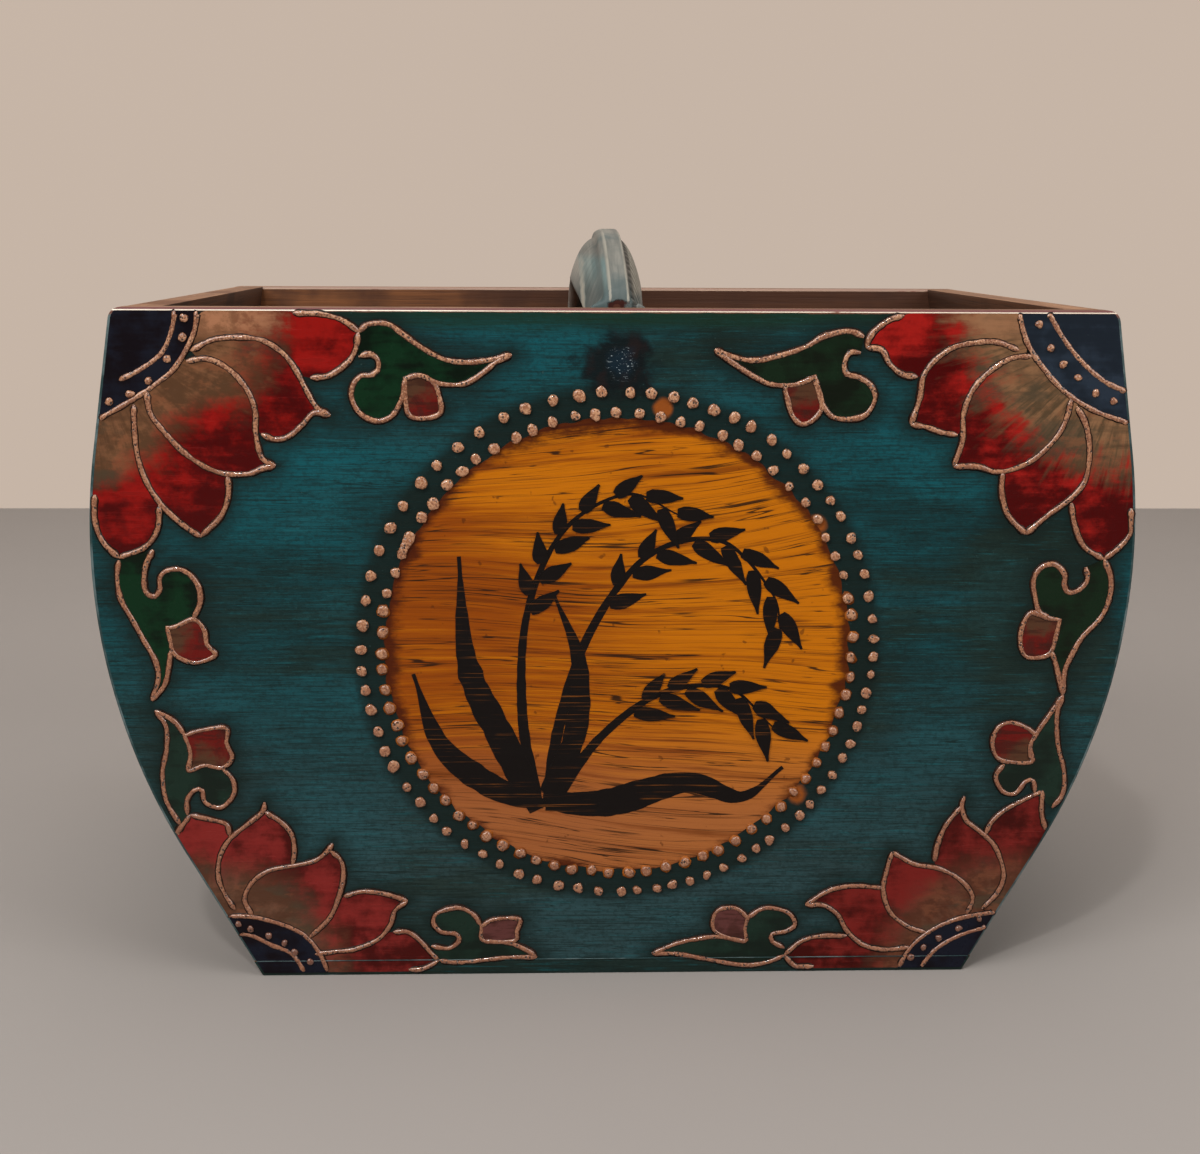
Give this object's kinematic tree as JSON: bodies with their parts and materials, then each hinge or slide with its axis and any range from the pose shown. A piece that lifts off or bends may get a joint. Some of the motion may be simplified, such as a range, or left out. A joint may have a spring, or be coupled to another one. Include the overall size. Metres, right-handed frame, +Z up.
{
  "type": "grain measure",
  "caption": "Wooden grain measure: painted end boards with a bulging outline, side staves, flat base and a fixed carved handle arching over the open top.",
  "frame": {"origin": "on the ground under the middle of the base", "axes": "+X to the right, -Y out of the painted front, +Z up out of the open mouth"},
  "size_m": [0.4, 0.275, 0.2927],
  "materials": {
    "decorated_lacquer": "dark teal lacquer over wood grain, with a gold roundel, raised dots, lotus and leaf ornament in red, olive and green, and raised tan outlines",
    "plain_lacquer": "worn dark teal lacquer over horizontal grain, bare brown wood inside",
    "handle_paint": "carved wood with rubbed grey-teal paint and pale worn edges",
    "bamboo": "bamboo pins, painted over with the boards",
    "iron": "hand-forged, dark and slightly rusty"
  },
  "bodies": {
    "root": {"front_board": "decorated_lacquer", "back_board": "plain_lacquer", "base_board": "plain_lacquer", "left_stave_1": "plain_lacquer", "left_stave_2": "plain_lacquer", "left_stave_3": "plain_lacquer", "left_stave_4": "plain_lacquer", "left_stave_5": "plain_lacquer", "right_stave_1": "plain_lacquer", "right_stave_2": "plain_lacquer", "right_stave_3": "plain_lacquer", "right_stave_4": "plain_lacquer", "right_stave_5": "plain_lacquer", "handle": "handle_paint", "left_stave_1_front_pin": "bamboo", "left_stave_1_back_pin": "bamboo", "left_stave_2_front_pin": "bamboo", "left_stave_2_back_pin": "bamboo", "left_stave_3_front_pin": "bamboo", "left_stave_3_back_pin": "bamboo", "left_stave_4_front_pin": "bamboo", "left_stave_4_back_pin": "bamboo", "left_stave_5_front_pin": "bamboo", "left_stave_5_back_pin": "bamboo", "right_stave_1_front_pin": "bamboo", "right_stave_1_back_pin": "bamboo", "right_stave_2_front_pin": "bamboo", "right_stave_2_back_pin": "bamboo", "right_stave_3_front_pin": "bamboo", "right_stave_3_back_pin": "bamboo", "right_stave_4_front_pin": "bamboo", "right_stave_4_back_pin": "bamboo", "right_stave_5_front_pin": "bamboo", "right_stave_5_back_pin": "bamboo", "handle_front_nail_upper": "iron", "handle_front_nail_lower": "iron", "handle_back_nail_upper": "iron", "handle_back_nail_lower": "iron", "base_front_nail_1": "iron", "base_front_nail_2": "iron", "base_front_nail_3": "iron", "base_back_nail_1": "iron", "base_back_nail_2": "iron", "base_back_nail_3": "iron", "base_left_nail_1": "iron", "base_left_nail_2": "iron", "base_right_nail_1": "iron", "base_right_nail_2": "iron"}
  },
  "joints": []
}
